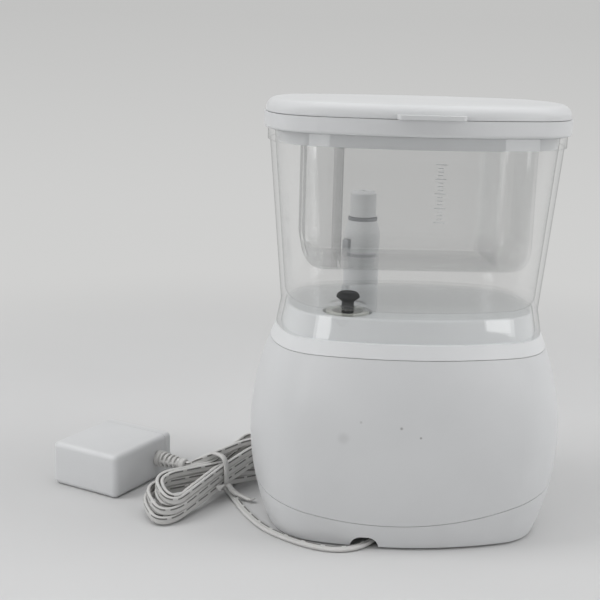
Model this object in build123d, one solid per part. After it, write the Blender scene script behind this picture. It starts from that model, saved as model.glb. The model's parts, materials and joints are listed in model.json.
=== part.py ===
from build123d import *
import math
import os

os.makedirs("parts", exist_ok=True)

# A countertop water flosser: pump base, clear lift-off tank with a lid tray, spray handle and mains adapter.
# Sizes are in millimetres. Heights are measured from the table, and X and Y from the base's upright axis.
# The front, with dial and handle, faces -Y. The back, with the lead's notch and the lid's tab, faces +Y.

# Base
base_bottom_z = 1.2
base_belly_z = 42.0
base_top_z = 109.0
base_bottom_half_length = 74.0
base_bottom_half_depth = 51.0
base_belly_half_length = 83.5
base_belly_half_depth = 57.5
base_top_half_length = 70.9
base_top_half_depth = 48.9
base_wall = 2.5
deck_band = 7.3
deck_line_z = base_top_z - deck_band
deck_rim = 10.5
seam_gap = 0.3
cover_seam_low_z = 14.2
cover_seam_low_x = 10.0
cover_seam_radius = 250.0
cover_floor_z = 8.0
cover_floor = 2.5
foot_x = 50.0
foot_y = 24.0
foot_radius = 6.5
foot_height = 3.0
foot_plug_radius = 3.0
foot_plug = 3.0
plug_slack = 0.1
post_radius = 8.5
notch_x = 23.5
notch_width = 14.6
notch_top_z = 6.6
notch_fillet = 5.84

# Outline of base, tank and lid: four bowed sides with rounded corners
corner_share_length = 0.84
corner_share_depth = 0.77
corner_radius_share = 0.58

# Deck, water inlet and valve
plinth_clearance = 0.7
plinth_gap = 0.6
plinth_fillet = 1.2
valve_x = 34.5
valve_y = 25.0
well_radius = 13.0
well_depth = 8.9
socket_flange = 2.0
socket_slack = 0.3
bridge_width = 1.6
bridge_height = 4.0
bridge_drop = 2.0
pin_drop = 1.0
socket_bore_radius = 4.5
socket_wall = 1.5
socket_length = 22.0
pin_radius = 2.0
seal_radius = 11.0
seal_wall = 3.0
valve_lift = 3.0
valve_head_radius = 6.0
valve_head = 2.8
valve_neck = 2.2
valve_dome = 2.5
valve_stem_radius = 3.15
valve_clearance = 0.35
rest_gap = 0.3

# Tank
foot_gap = 0.5
skirt_height = 14.5
tank_floor = 2.5
tank_depth = 88.8
band_height = 5.8
band_proud_length = 1.2
band_proud_depth = 0.8
tank_wall = 2.2
skirt_wall = 2.6
tank_floor_half_length = 66.4
tank_floor_half_depth = 45.4
tank_top_half_length = 74.0
tank_top_half_depth = 50.4
tank_floor_fillet = 5.0
boss_radius = 9.5
boss_height = 1.0
tank_foot_z = base_top_z + foot_gap
tank_floor_z = tank_foot_z + skirt_height
tank_under_z = tank_floor_z - tank_floor
tank_top_z = tank_floor_z + tank_depth
tank_band_z = tank_top_z - band_height
tank_band_half_length = tank_top_half_length + tank_wall + band_proud_length
tank_band_half_depth = tank_top_half_depth + tank_wall + band_proud_depth
plinth_top_z = tank_under_z - plinth_gap
well_floor_z = plinth_top_z - well_depth

# Lid frame, tip tray and hinged cover
lid_overhang_length = 2.1
lid_overhang_depth = 1.4
lid_z = tank_top_z + rest_gap
lid_half_length = tank_band_half_length + lid_overhang_length
lid_half_depth = tank_band_half_depth + lid_overhang_depth
lid_height = 8.1
lid_fillet = 1.5
lid_plate = 4.6
lid_wall = 2.4
plug_depth = 6.5
plug_wall = 2.0
plug_clearance = 0.5
tray_half_length = 59.5
tray_half_depth = 30.0
tray_floor_gap = 18.5
tray_depth = tank_depth + rest_gap - tray_floor_gap
tray_bottom_z = lid_z - tray_depth
tray_wall = 1.8
tray_corner = 8.0
tray_bottom_radius = 14.0
tray_flange = 3.0
tray_flange_height = 2.0
tray_clearance = 0.4
tray_recess = 0.6
tray_edge = 6.8
divider_x = 40.0
divider_wall = 1.6
divider_top_drop = 14.0
cover_gap = 0.3
cover_height = 6.8
cover_inset = 0.9
cover_fillet = 5.5
cover_wall = 2.2
tab_width = 33.0
tab_reach = 3.5
tab_height = 2.1
hinge_radius = 3.2
hinge_pin_radius = 1.5
hinge_clearance = 0.06
hinge_standoff = 0.5
hinge_rise = 7.4
hinge_z = lid_z + hinge_rise
barrel_half_width = 22.0
lug_width = 7.0
lug_gap = 0.5

# Dial
dial_x = -32.0
dial_z = 50.0
dial_radius = 18.0
dial_height = 11.0
dial_plinth_radius = 20.5
dial_plinth_proud = 2.0
dial_plinth_face = base_belly_half_depth + dial_plinth_proud
dial_gap = 0.4
spindle_radius = 3.0
spindle_clearance = 0.06
spindle_length = 20.0
pointer_width = 5.0
pointer_height = 3.0
pointer_length = 30.6
regulator_radius = 14.4
regulator_length = 37.5

# Spray handle and its cradle
handle_x = 20.0
handle_standoff = 13.5
handle_y = -(base_belly_half_depth + handle_standoff)
handle_bottom_z = 38.0
handle_length = 116.0
handle_shoulder = 14.0
handle_radius = 10.5
handle_end_radius = 7.5
ring_z = handle_bottom_z + handle_length
ring_height = 2.0
ring_radius = 8.6
collar_height = 15.4
collar_cap = 2.0
collar_top_z = ring_z + ring_height + collar_height
collar_radius = 7.7
collar_tip_radius = 6.2
collar_gap = 0.3
stub_radius = 3.0
stub_clearance = 0.08
tip_bore_radius = 1.6
button_drop = 16.0
button_z = ring_z - button_drop
button_width = 6.0
button_length = 10.0
button_proud = 1.2
button_turn = 28.0
button_depth = 3.0
button_travel = 1.2
button_clearance = 0.35
spigot_radius = 3.0
spigot_length = 9.0
cradle_wall = 2.6
cradle_clearance = 0.4
cradle_floor = 3.6
cradle_height = 48.0
cradle_drain = 1.5
cradle_bottom_z = handle_bottom_z - cradle_floor - cradle_clearance
cradle_top_z = cradle_bottom_z + cradle_height
cradle_mouth_degrees = 120.0
hose_port_z = 24.0
hose_port_radius = 4.0
hose_port_proud = 6.0
hose_port_length = 33.5

# Pump unit inside the base
motor_x = 30.0
motor_z = 44.0
motor_radius = 14.0
motor_length = 30.0
motor_boss_radius = 6.0
motor_boss = 3.0
gearbox_length = 74.0
gearbox_width = 24.0
gearbox_height = 46.0
gearbox_x = 2.0
gearbox_corner = 6.0
gearbox_edge = 2.5
flange_reach_x = 7.0
flange_reach_y = 4.0
flange_corner = 5.0
flange_thickness = 3.0
pump_radius = 11.0
pump_length = 34.0
pump_cap_radius = 13.0
pump_cap = 6.0
pump_stub = 6.0
tube_radius = 3.2
tube_bend = 6.0
board_length = 36.0
board_width = 22.0
board_thickness = 1.6
board_post = 6.0
board_post_radius = 3.0
board_y = 27.0

# Lead, hank and adapter
lead_radius = 2.2
lead_clearance_z = 0.05
gland_radius = 3.6
gland_length = 9.0
gland_lift = 0.8
gland_block = 7.0
hank_corner_share = 0.3
hank_x = 108.7
hank_y = -21.65
hank_degrees = 45.5
adapter_x = 165.1
adapter_y = -45.4
adapter_degrees = -31.6
adapter_length = 46.5
adapter_width = 53.5
adapter_height = 25.5
adapter_edge = 3.0
adapter_face = 7.0
adapter_split = 0.2
relief_offset = 13.0
relief_length = 20.0
relief_big_radius = 4.9
relief_small_radius = 3.4
tail_length = 14.0
blade_length = 17.0
blade_height = 6.4
blade_thickness = 1.5
blade_spacing = 12.7

# The origin is under the middle of the object's box, so the base's axis stands behind it.
front_reach = -handle_y + handle_radius
back_reach = lid_half_depth + tab_reach
axis_y = (front_reach - back_reach) / 2
place = Pos(0, axis_y, 0)


def oval(half_length, half_depth):
    """A face bounded by four shallow arcs with rounded corners."""
    x = corner_share_length * half_length
    y = corner_share_depth * half_depth
    outline = ThreePointArc((-x, -y), (0, -half_depth), (x, -y))
    outline += ThreePointArc((x, -y), (half_length, 0), (x, y))
    outline += ThreePointArc((x, y), (0, half_depth), (-x, y))
    outline += ThreePointArc((-x, y), (-half_length, 0), (-x, -y))
    face = make_face(outline)
    return fillet(face.vertices(), corner_radius_share * half_depth)


def oval_slab(half_length, half_depth, z_low, z_high):
    """A straight-sided block on the oval outline."""
    return Pos(0, 0, z_low) * extrude(oval(half_length, half_depth), z_high - z_low)


def oval_loft(*sections):
    """A block through oval sections, each given as half length, half depth and height."""
    return loft([Pos(0, 0, z) * oval(length, depth) for length, depth, z in sections])


def upright(radius, z_low, z_high, x=0.0, y=0.0):
    """A cylinder along Z between two heights."""
    return Pos(x, y, (z_low + z_high) / 2) * Cylinder(radius, z_high - z_low)


def along_y(radius, y_low, y_high, x, z):
    """A cylinder along Y between two depths."""
    return Pos(x, (y_low + y_high) / 2, z) * Rot(90, 0, 0) * Cylinder(radius, y_high - y_low)


def along_x(radius, x_low, x_high, y, z):
    """A cylinder along X between two places."""
    return Pos((x_low + x_high) / 2, y, z) * Rot(0, 90, 0) * Cylinder(radius, x_high - x_low)


def slab(z_low, z_high):
    """A block that spans the whole object between two heights."""
    reach = 4 * base_belly_half_length
    return Pos(0, 0, (z_low + z_high) / 2) * Box(reach, reach, z_high - z_low)


def rounded_slab(length, depth, radius, z_low, z_high):
    """A block on a rounded rectangle between two heights."""
    return Pos(0, 0, z_low) * extrude(RectangleRounded(length, depth, radius), z_high - z_low)


def save(name, solid):
    """Write one node, moved to the object's origin."""
    export_step(place * solid, f"parts/{name}.step")


# Outside of the tank where its floor meets the skirt
tank_foot_length = tank_floor_half_length + tank_wall
tank_foot_depth = tank_floor_half_depth + tank_wall


# Base shell: one bellied form, split into bottom cover, housing and deck
def base_form(inset):
    """The base's outer form, or its inside when inset by the wall."""
    return oval_loft(
        (base_bottom_half_length - inset, base_bottom_half_depth - inset, base_bottom_z),
        (base_belly_half_length - inset, base_belly_half_depth - inset, base_belly_z),
        (base_top_half_length - inset, base_top_half_depth - inset, base_top_z),
    )


base_outer = base_form(0)
base_inner = base_form(base_wall)
base_shell = base_outer - base_inner


def seam_roller(radius):
    """A roller along Y whose underside is the parting line between cover and housing."""
    centre_z = cover_seam_low_z + cover_seam_radius
    reach = 2 * base_belly_half_depth
    return along_y(radius, -reach, reach, cover_seam_low_x, centre_z)


foot_places = [Pos(side * foot_x, end * foot_y, 0) for side in (-1, 1) for end in (-1, 1)]


def make_bottom_cover():
    """Rim, floor, foot posts and the notch that the lead passes."""
    cover = base_shell - seam_roller(cover_seam_radius + seam_gap)
    floor_top_z = cover_floor_z + cover_floor
    cover += base_inner & slab(cover_floor_z, floor_top_z)
    post = upright(post_radius, foot_height, cover_floor_z)
    hole_top_z = foot_height + foot_plug + plug_slack
    plug_hole = upright(foot_plug_radius + plug_slack, foot_height, hole_top_z)
    for spot in foot_places:
        cover += spot * post
        cover -= spot * plug_hole
    arch = Pos(0, 0, notch_top_z / 2) * Box(notch_width, base_belly_half_depth, notch_top_z)
    top_edges = arch.edges().filter_by(Axis.Y).group_by(Axis.Z)[-1]
    arch = fillet(top_edges, notch_fillet)
    return cover - Pos(notch_x, base_belly_half_depth, 0) * arch


def make_feet():
    """Four rubber feet with plugs in the posts."""
    foot = upright(foot_radius, 0, foot_height)
    foot += upright(foot_plug_radius, foot_height, foot_height + foot_plug)
    foot = chamfer(foot.edges().group_by(Axis.Z)[0], 0.6)
    return Part() + [spot * foot for spot in foot_places]


def make_housing():
    """The belly of the base, with the flat seat of the dial on its front."""
    housing = (base_shell & seam_roller(cover_seam_radius)) & slab(0, deck_line_z)
    seat = along_y(dial_plinth_radius, -dial_plinth_face, 0, dial_x, dial_z) - base_inner
    housing += seat
    bore = spindle_radius + spindle_clearance
    housing -= along_y(bore, -2 * dial_plinth_face, 0, dial_x, dial_z)
    return housing - along_y(hose_port_radius, -2 * dial_plinth_face, 0, handle_x, hose_port_z)


def make_deck():
    """The top of the base: a cap with a plinth under the tank and the inlet's well."""
    deck = base_outer & slab(deck_line_z + seam_gap, base_top_z)
    inset = skirt_wall + plinth_clearance
    plinth = oval_loft(
        (base_top_half_length - inset, base_top_half_depth - inset, base_top_z),
        (tank_foot_length - inset, tank_foot_depth - inset, plinth_top_z),
    )
    deck += fillet(plinth.edges().group_by(Axis.Z)[-1], plinth_fillet)
    deck -= oval_slab(
        base_top_half_length - deck_rim,
        base_top_half_depth - deck_rim,
        deck_line_z,
        plinth_top_z - base_wall,
    )
    cup_radius = well_radius + base_wall
    deck += upright(cup_radius, well_floor_z - base_wall, plinth_top_z - plinth_fillet, valve_x, valve_y)
    deck -= upright(well_radius, well_floor_z, plinth_top_z, valve_x, valve_y)
    tube_hole = socket_bore_radius + socket_wall
    return deck - upright(tube_hole, deck_line_z, well_floor_z, valve_x, valve_y)


def make_inlet_socket():
    """The flanged inlet tube with the cross pin that lifts the tank's valve."""
    tube_outer = socket_bore_radius + socket_wall
    flange_top_z = well_floor_z + socket_flange
    socket = upright(well_radius - socket_slack, well_floor_z, flange_top_z)
    socket += upright(tube_outer, well_floor_z - socket_length, well_floor_z)
    socket -= upright(socket_bore_radius, 0, flange_top_z)
    bridge_z = well_floor_z - bridge_drop
    bridge_length = 2 * socket_bore_radius + socket_wall
    socket += Pos(0, 0, bridge_z) * Box(bridge_length, bridge_width, bridge_height)
    socket += upright(pin_radius, bridge_z, plinth_top_z - pin_drop)
    return Pos(valve_x, valve_y, 0) * socket


def make_inlet_seal():
    """The rubber ring between the socket and the tank's floor."""
    low = well_floor_z + socket_flange
    high = tank_under_z - rest_gap
    ring = upright(seal_radius, low, high) - upright(seal_radius - seal_wall, low, high)
    return Pos(valve_x, valve_y, 0) * ring


# Tank
def make_tank():
    """The clear tank: flared foot, tapered walls, thick rim band and the valve's boss."""
    foot = oval_loft(
        (base_top_half_length, base_top_half_depth, tank_foot_z),
        (tank_foot_length, tank_foot_depth, tank_under_z),
    )
    walls = oval_loft(
        (tank_foot_length, tank_foot_depth, tank_under_z),
        (tank_top_half_length + tank_wall, tank_top_half_depth + tank_wall, tank_band_z),
    )
    band = oval_slab(tank_band_half_length, tank_band_half_depth, tank_band_z, tank_top_z)
    inside = oval_loft(
        (tank_floor_half_length, tank_floor_half_depth, tank_floor_z),
        (tank_top_half_length, tank_top_half_depth, tank_top_z + 1),
    )
    inside = fillet(inside.edges().group_by(Axis.Z)[0], tank_floor_fillet)
    under = oval_loft(
        (base_top_half_length - skirt_wall, base_top_half_depth - skirt_wall, tank_foot_z),
        (tank_foot_length - skirt_wall, tank_foot_depth - skirt_wall, tank_under_z),
    )
    tank = foot + walls + band - inside - under
    boss_top_z = tank_floor_z + boss_height
    tank += upright(boss_radius, tank_under_z, boss_top_z, valve_x, valve_y)
    bore = valve_stem_radius + valve_clearance
    tank -= upright(bore, tank_foot_z, tank_top_z, valve_x, valve_y)
    seat = Cone(bore, valve_head_radius + valve_clearance, valve_neck)
    return tank - Pos(valve_x, valve_y, boss_top_z - valve_neck / 2) * seat


def make_valve():
    """The rubber mushroom valve, held open by the socket's pin."""
    head_z = tank_floor_z + boss_height + valve_lift + rest_gap
    stem_z = plinth_top_z - pin_drop + rest_gap
    neck_z = head_z - valve_neck
    head = upright(valve_head_radius, head_z, head_z + valve_head)
    head = fillet(head.edges().group_by(Axis.Z)[-1], valve_dome)
    neck = Cone(valve_stem_radius, valve_head_radius, valve_neck)
    stem = upright(valve_stem_radius, stem_z, neck_z)
    return Pos(valve_x, valve_y, 0) * (head + Pos(0, 0, head_z - valve_neck / 2) * neck + stem)


# Lid
hinge_y = -(lid_half_depth + hinge_radius + hinge_standoff)
lid_top_z = lid_z + lid_height
ledge_z = lid_top_z - tray_flange_height - tray_recess
hinge_bore = hinge_pin_radius + hinge_clearance
lug_centre = barrel_half_width + lug_gap + lug_width / 2


def make_lid_frame():
    """The lid's frame: skirt, plug in the tank's mouth, ledge for the tray and hinge lugs."""
    frame = oval_slab(lid_half_length, lid_half_depth, lid_z, lid_top_z)
    frame = fillet(frame.edges().group_by(Axis.Z)[0], lid_fillet)
    plug_length = tank_top_half_length - plug_clearance
    plug_half_depth = tank_top_half_depth - plug_clearance
    taper = (tank_top_half_length - tank_floor_half_length) / (tank_top_z - tank_floor_z)
    plug_tip = plug_depth * taper
    frame += oval_loft(
        (plug_length - plug_tip, plug_half_depth - plug_tip, lid_z - plug_depth),
        (plug_length, plug_half_depth, lid_z),
    )
    hollow = plug_tip + plug_wall
    frame -= oval_slab(
        plug_length - hollow, plug_half_depth - hollow, lid_z - plug_depth, lid_top_z - lid_plate
    )
    mouth = tray_clearance
    frame -= rounded_slab(
        2 * (tray_half_length + mouth),
        2 * (tray_half_depth + mouth),
        tray_corner + mouth,
        lid_z,
        lid_top_z,
    )
    rebate = tray_flange + tray_clearance
    frame -= rounded_slab(
        2 * (tray_half_length + rebate),
        2 * (tray_half_depth + rebate),
        tray_corner + rebate,
        ledge_z,
        lid_top_z,
    )
    for side in (-1, 1):
        frame += make_lug(side * lug_centre)
    return frame - along_x(hinge_bore, -lid_half_length, lid_half_length, hinge_y, hinge_z)


def make_lug(x):
    """One hinge lug on the front of the lid's frame."""
    half = lug_width / 2
    lug = along_x(hinge_radius, x - half, x + half, hinge_y, hinge_z)
    reach = lid_half_depth - 4 * lid_wall
    root_y = (hinge_y - reach) / 2
    root_low = hinge_z - hinge_radius
    root = Box(lug_width, -hinge_y - reach, lid_top_z - root_low)
    return lug + Pos(x, root_y, (root_low + lid_top_z) / 2) * root


def make_tray():
    """The clear tip tray with rounded ends, two dividers and a flange on the lid's ledge."""
    length = 2 * tray_half_length
    depth = 2 * tray_half_depth
    body = rounded_slab(length, depth, tray_corner, tray_bottom_z, ledge_z)
    body = fillet(body.edges().group_by(Axis.Z)[0], tray_edge)
    ends = Pos(0, 0, tray_bottom_z) * tray_end_block(0)
    body = body & ends
    hollow = rounded_slab(
        length - 2 * tray_wall,
        depth - 2 * tray_wall,
        tray_corner - tray_wall,
        tray_bottom_z + tray_wall,
        ledge_z,
    )
    hollow = hollow & Pos(0, 0, tray_bottom_z) * tray_end_block(tray_wall)
    divider_top_z = ledge_z - divider_top_drop
    divider = Pos(0, 0, (tray_bottom_z + divider_top_z) / 2) * Box(
        divider_wall, depth, divider_top_z - tray_bottom_z
    )
    for side in (-1, 1):
        hollow -= Pos(side * divider_x, 0, 0) * divider
    flange_out = 2 * tray_flange
    flange = rounded_slab(
        length + flange_out,
        depth + flange_out,
        tray_corner + tray_flange,
        ledge_z,
        ledge_z + tray_flange_height,
    )
    flange -= rounded_slab(
        length - 2 * tray_wall,
        depth - 2 * tray_wall,
        tray_corner - tray_wall,
        ledge_z,
        ledge_z + tray_flange_height,
    )
    return body - hollow + flange


def tray_end_block(inset):
    """A block with two large rounded lower edges, standing on the tray's bottom."""
    height = lid_top_z - tray_bottom_z
    profile = Pos(0, height / 2 + inset) * Rectangle(2 * (tray_half_length - inset), height)
    lower = profile.vertices().group_by(Axis.Y)[0]
    profile = fillet(lower, tray_bottom_radius - inset)
    block = extrude(profile, 2 * tray_half_depth, both=True)
    return Rot(90, 0, 0) * block


def make_cover():
    """The hinged cover: a shallow dome with a finger tab behind and a hinge barrel in front."""
    low = lid_top_z + cover_gap
    half_length = lid_half_length - cover_inset
    half_depth = lid_half_depth - cover_inset
    cover = oval_slab(half_length, half_depth, low, low + cover_height)
    cover = fillet(cover.edges().group_by(Axis.Z)[-1], cover_fillet)
    inside = oval_slab(
        half_length - cover_wall, half_depth - cover_wall, low, low + cover_height - cover_wall
    )
    inside = fillet(inside.edges().group_by(Axis.Z)[-1], cover_fillet - cover_wall)
    cover -= inside
    tab_root = 2 * cover_wall
    tab = Box(tab_width, tab_reach + tab_root, tab_height)
    tab = fillet(tab.edges().filter_by(Axis.Z).group_by(Axis.Y)[-1], 0.6 * tab_reach)
    tab_centre = lid_half_depth + (tab_reach - tab_root) / 2
    cover += Pos(0, tab_centre, low + tab_height / 2) * tab
    barrel = along_x(hinge_radius, -barrel_half_width, barrel_half_width, hinge_y, hinge_z)
    web_top = hinge_z + hinge_radius
    web_depth = -hinge_y - half_depth + 2 * cover_wall
    web = Box(2 * barrel_half_width, web_depth, web_top - low)
    cover += Pos(0, hinge_y + web_depth / 2, (low + web_top) / 2) * web
    cover += barrel
    return cover - along_x(hinge_bore, -lid_half_length, lid_half_length, hinge_y, hinge_z)


def make_hinge_pin():
    """The steel pin through lugs and barrel."""
    half = lug_centre + lug_width / 2
    return along_x(hinge_pin_radius, -half, half, hinge_y, hinge_z)


# Dial
def make_dial():
    """The pressure dial: a dished knob with a pointer ridge and its spindle."""
    back = -(dial_plinth_face + dial_gap)
    front = back - dial_height
    knob = along_y(dial_radius, front, back, 0, 0)
    knob = fillet(knob.edges().group_by(Axis.Y)[0], 2.0)
    ridge = Pos(0, front - pointer_height / 2, 0) * Box(
        pointer_width, pointer_height, pointer_length
    )
    ridge = fillet(ridge.edges().group_by(Axis.Y)[0], 1.2)
    spindle = along_y(spindle_radius, back, back + spindle_length, 0, 0)
    return Pos(dial_x, 0, dial_z) * (knob + ridge + spindle)


def make_pressure_valve():
    """The regulator behind the dial, seated on the housing's inside, bored for the spindle."""
    front = -dial_plinth_face
    body = along_y(regulator_radius, front, front + regulator_length, dial_x, dial_z) & base_inner
    bore = spindle_radius + 2 * rest_gap
    end_y = spindle_length - dial_plinth_face
    return body - along_y(bore, -2 * dial_plinth_face, end_y, dial_x, dial_z)


# Spray handle
handle_spot = Pos(handle_x, handle_y, 0)


def make_handle_body():
    """The grip: a turned body with a narrow foot, the collar's stub and the button's pocket."""
    profile = Polyline(
        (0, handle_bottom_z),
        (handle_end_radius, handle_bottom_z),
        (handle_radius, handle_bottom_z + handle_shoulder),
        (handle_radius, ring_z - handle_shoulder / 2),
        (ring_radius, ring_z),
        (0, ring_z),
        close=True,
    )
    body = revolve(Plane.XZ * make_face(profile), Axis.Z)
    stub_top_z = collar_top_z - 2 * collar_gap - collar_cap
    body += upright(stub_radius, ring_z, stub_top_z)
    pocket_depth = button_depth + button_travel + rest_gap
    pocket = Box(
        2 * pocket_depth,
        button_width + 2 * button_clearance,
        button_length + 2 * button_clearance,
    )
    body -= Rot(0, 0, button_turn) * Pos(handle_radius, 0, button_z) * pocket
    bore = spigot_radius + rest_gap / 4
    body -= upright(bore, handle_bottom_z, handle_bottom_z + spigot_length / 2)
    return handle_spot * body


def make_handle_ring():
    """The dark ring under the collar."""
    ring = upright(ring_radius, ring_z, ring_z + ring_height)
    ring -= upright(stub_radius + stub_clearance, ring_z, ring_z + ring_height)
    return handle_spot * ring


def make_tip_collar():
    """The turning collar that takes a spray tip."""
    low = ring_z + ring_height + collar_gap
    blank = Pos(0, 0, low) * extrude(Circle(collar_radius), collar_top_z - low)
    blank = chamfer(
        blank.edges().group_by(Axis.Z)[-1],
        collar_radius - collar_tip_radius,
        collar_radius - collar_tip_radius,
    )
    blank -= upright(stub_radius + stub_clearance, low, collar_top_z - collar_cap)
    return handle_spot * (blank - upright(tip_bore_radius, low, collar_top_z))


def make_button():
    """The pause button on the handle's side."""
    inner = handle_radius - button_depth
    outer = handle_radius + button_proud
    button = Pos((inner + outer) / 2, 0, button_z) * Box(outer - inner, button_width, button_length)
    button = fillet(button.edges().filter_by(Axis.X), 0.3 * button_width)
    return handle_spot * Rot(0, 0, button_turn) * button


def make_spigot():
    """The hose spigot in the handle's foot."""
    low = handle_bottom_z - spigot_length / 2
    spigot = upright(spigot_radius, low, low + spigot_length)
    return handle_spot * (spigot - upright(spigot_radius / 2, low, low + spigot_length))


def make_cradle():
    """A saddle on the front of the base that holds the handle upright, open to the front."""
    inner = handle_radius + cradle_clearance
    outer = inner + cradle_wall
    saddle = upright(outer, cradle_bottom_z, cradle_top_z)
    saddle += Pos(0, outer, (cradle_bottom_z + cradle_top_z) / 2) * Box(
        2 * outer, 2 * outer, cradle_top_z - cradle_bottom_z
    )
    saddle -= upright(inner, cradle_bottom_z + cradle_floor, cradle_top_z)
    half = math.radians(cradle_mouth_degrees / 2)
    mouth = 2 * inner * math.sin(half)
    open_z = cradle_bottom_z + 3 * cradle_floor
    saddle -= Pos(0, -outer, (open_z + cradle_top_z) / 2) * Box(
        mouth, 2 * outer, cradle_top_z - open_z
    )
    saddle -= upright(spigot_radius + cradle_drain, cradle_bottom_z, cradle_bottom_z + cradle_floor)
    return handle_spot * saddle - base_outer


def make_hose_port():
    """The hose's outlet on the base, under the cradle."""
    outer_y = -(base_belly_half_depth + hose_port_proud)
    inner_y = outer_y + hose_port_length
    port = along_y(hose_port_radius, outer_y, inner_y, handle_x, hose_port_z)
    return port - along_y(hose_port_radius / 2, outer_y, inner_y, handle_x, hose_port_z)


# Pump unit
pump_floor_z = cover_floor_z + cover_floor


def make_gearbox():
    """The closed reduction case that stands on the bottom cover."""
    top_z = pump_floor_z + gearbox_height
    case = rounded_slab(gearbox_length, gearbox_width, gearbox_corner, pump_floor_z, top_z)
    case = fillet(case.edges().group_by(Axis.Z)[-1], gearbox_edge)
    flange = rounded_slab(
        gearbox_length + 2 * flange_reach_x,
        gearbox_width + 2 * flange_reach_y,
        flange_corner,
        pump_floor_z,
        pump_floor_z + flange_thickness,
    )
    return Pos(gearbox_x, 0, 0) * (case + flange)


def make_motor():
    """The motor can with its bearing boss, flanged to the back of the gearbox."""
    face = gearbox_width / 2
    can = along_y(motor_radius, face, face + motor_length, motor_x, motor_z)
    can = fillet(can.edges().group_by(Axis.Y)[-1], 2.0)
    end = face + motor_length
    return can + along_y(motor_boss_radius, end, end + motor_boss, motor_x, motor_z)


pump_x = gearbox_x - gearbox_length / 2
pump_z = motor_z


def make_pump():
    """The closed pump cylinder on the gearbox's end, with its head and inlet stub."""
    pump = along_x(pump_radius, pump_x - pump_length, pump_x, 0, pump_z)
    head = pump_x - pump_length
    pump += along_x(pump_cap_radius, head, head + pump_cap, 0, pump_z)
    stub_x = head + pump_cap + 2 * tube_radius
    return pump + upright(tube_radius, pump_z, pump_z + pump_radius + pump_stub, stub_x, 0)


def make_board():
    """The control board on its post behind the gearbox."""
    low = pump_floor_z + board_post
    board = Pos(-motor_x, board_y, low + board_thickness / 2) * Box(
        board_length, board_width, board_thickness
    )
    return board + upright(board_post_radius, pump_floor_z, low, -motor_x, board_y)


def make_inlet_tube():
    """The tube from the inlet socket to the pump's stub."""
    start_z = well_floor_z - socket_length
    stub_x = pump_x - pump_length + pump_cap + 2 * tube_radius
    stub_z = pump_z + pump_radius + pump_stub
    run_z = (start_z + stub_z) / 2
    route = FilletPolyline(
        (valve_x, valve_y, start_z),
        (valve_x, valve_y, run_z),
        (stub_x, 0, run_z),
        (stub_x, 0, stub_z),
        radius=tube_bend,
    )
    return sweep(Plane(route @ 0, z_dir=route % 0) * Circle(tube_radius), route)


# Lead, hank and adapter
lead_z = lead_radius + lead_clearance_z
gland_z = gland_radius + gland_lift
lead_points = [
    (97.0, -27.0, lead_z),
    (92.5, -13.5, lead_z),
    (87.0, 4.5, lead_z),
    (76.5, 27.5, lead_z),
    (63.5, 41.0, lead_z),
    (50.5, 50.5, lead_z),
    (38.0, 54.5, lead_z),
    (26.0, 50.8, lead_z + 0.2),
    (16.5, 41.5, lead_z + 1.0),
    (9.0, 32.5, gland_z),
]


def corner_radii(points):
    """The largest arc that each corner's two runs allow."""
    spots = [Vector(*point) for point in points]
    radii = []
    for before, here, after in zip(spots, spots[1:], spots[2:]):
        turn = (here - before).get_angle(after - here)
        shorter = min((here - before).length, (after - here).length)
        radii.append(0.45 * shorter / math.tan(math.radians(turn) / 2))
    return radii


def make_lead():
    """The lead from the hank along the base's edge, through the notch to the gland."""
    radii = corner_radii(lead_points)
    route = FilletPolyline(*lead_points, radius=radii)
    lead = sweep(Plane(route @ 0, z_dir=route % 0) * Circle(lead_radius), route)
    section = math.pi * lead_radius**2
    print("lead radii", [round(radius, 1) for radius in radii])
    share = lead.volume / (section * route.length)
    print("lead length", round(route.length, 1), "volume share", round(share, 4))
    return lead


def make_gland():
    """The strain relief under the base, on a block below the bottom cover's floor."""
    end = Vector(*lead_points[-1])
    before = Vector(*lead_points[-2])
    inward = (end - before).normalized()
    barrel = Pos(0, 0, gland_length / 2) * Cylinder(gland_radius, gland_length)
    barrel = Plane(end, z_dir=inward) * barrel
    middle = end + inward * (gland_length / 2)
    block_top = cover_floor_z
    block = Box(gland_block, gland_radius, block_top - gland_z)
    turn = math.degrees(math.atan2(inward.Y, inward.X))
    block = Pos(middle.X, middle.Y, (block_top + gland_z) / 2) * Rot(0, 0, turn) * block
    return (barrel + block) & slab(0, cover_floor_z)


# Each section of the hank: place along it, middle and width across it, lowest and highest point
hank_sections = [
    (-45.0, 2.5, 14.0, 7.0, 22.0),
    (-40.0, 2.5, 20.0, 2.0, 27.0),
    (-28.0, 2.5, 22.0, 0.6, 28.0),
    (-3.0, 5.5, 18.0, 2.6, 21.6),
    (20.0, 5.5, 27.0, 0.8, 21.0),
    (45.0, 6.0, 33.0, 0.4, 19.0),
    (49.0, 6.0, 26.0, 4.0, 15.0),
]


def make_hank():
    """The outer shape of the hank of lead: fanned ends and a waist where it is tied."""
    sections = []
    for along, middle, width, low, high in hank_sections:
        spot = Plane((along, middle, (low + high) / 2), x_dir=(0, 1, 0), z_dir=(1, 0, 0))
        corner = hank_corner_share * min(width, high - low)
        sections.append(spot * RectangleRounded(width, high - low, corner))
    return Pos(hank_x, hank_y, 0) * Rot(0, 0, hank_degrees) * loft(sections, ruled=True)


adapter_spot = Pos(adapter_x, adapter_y, 0) * Rot(0, 0, adapter_degrees)
adapter_middle_z = adapter_height / 2 + lead_clearance_z


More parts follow.
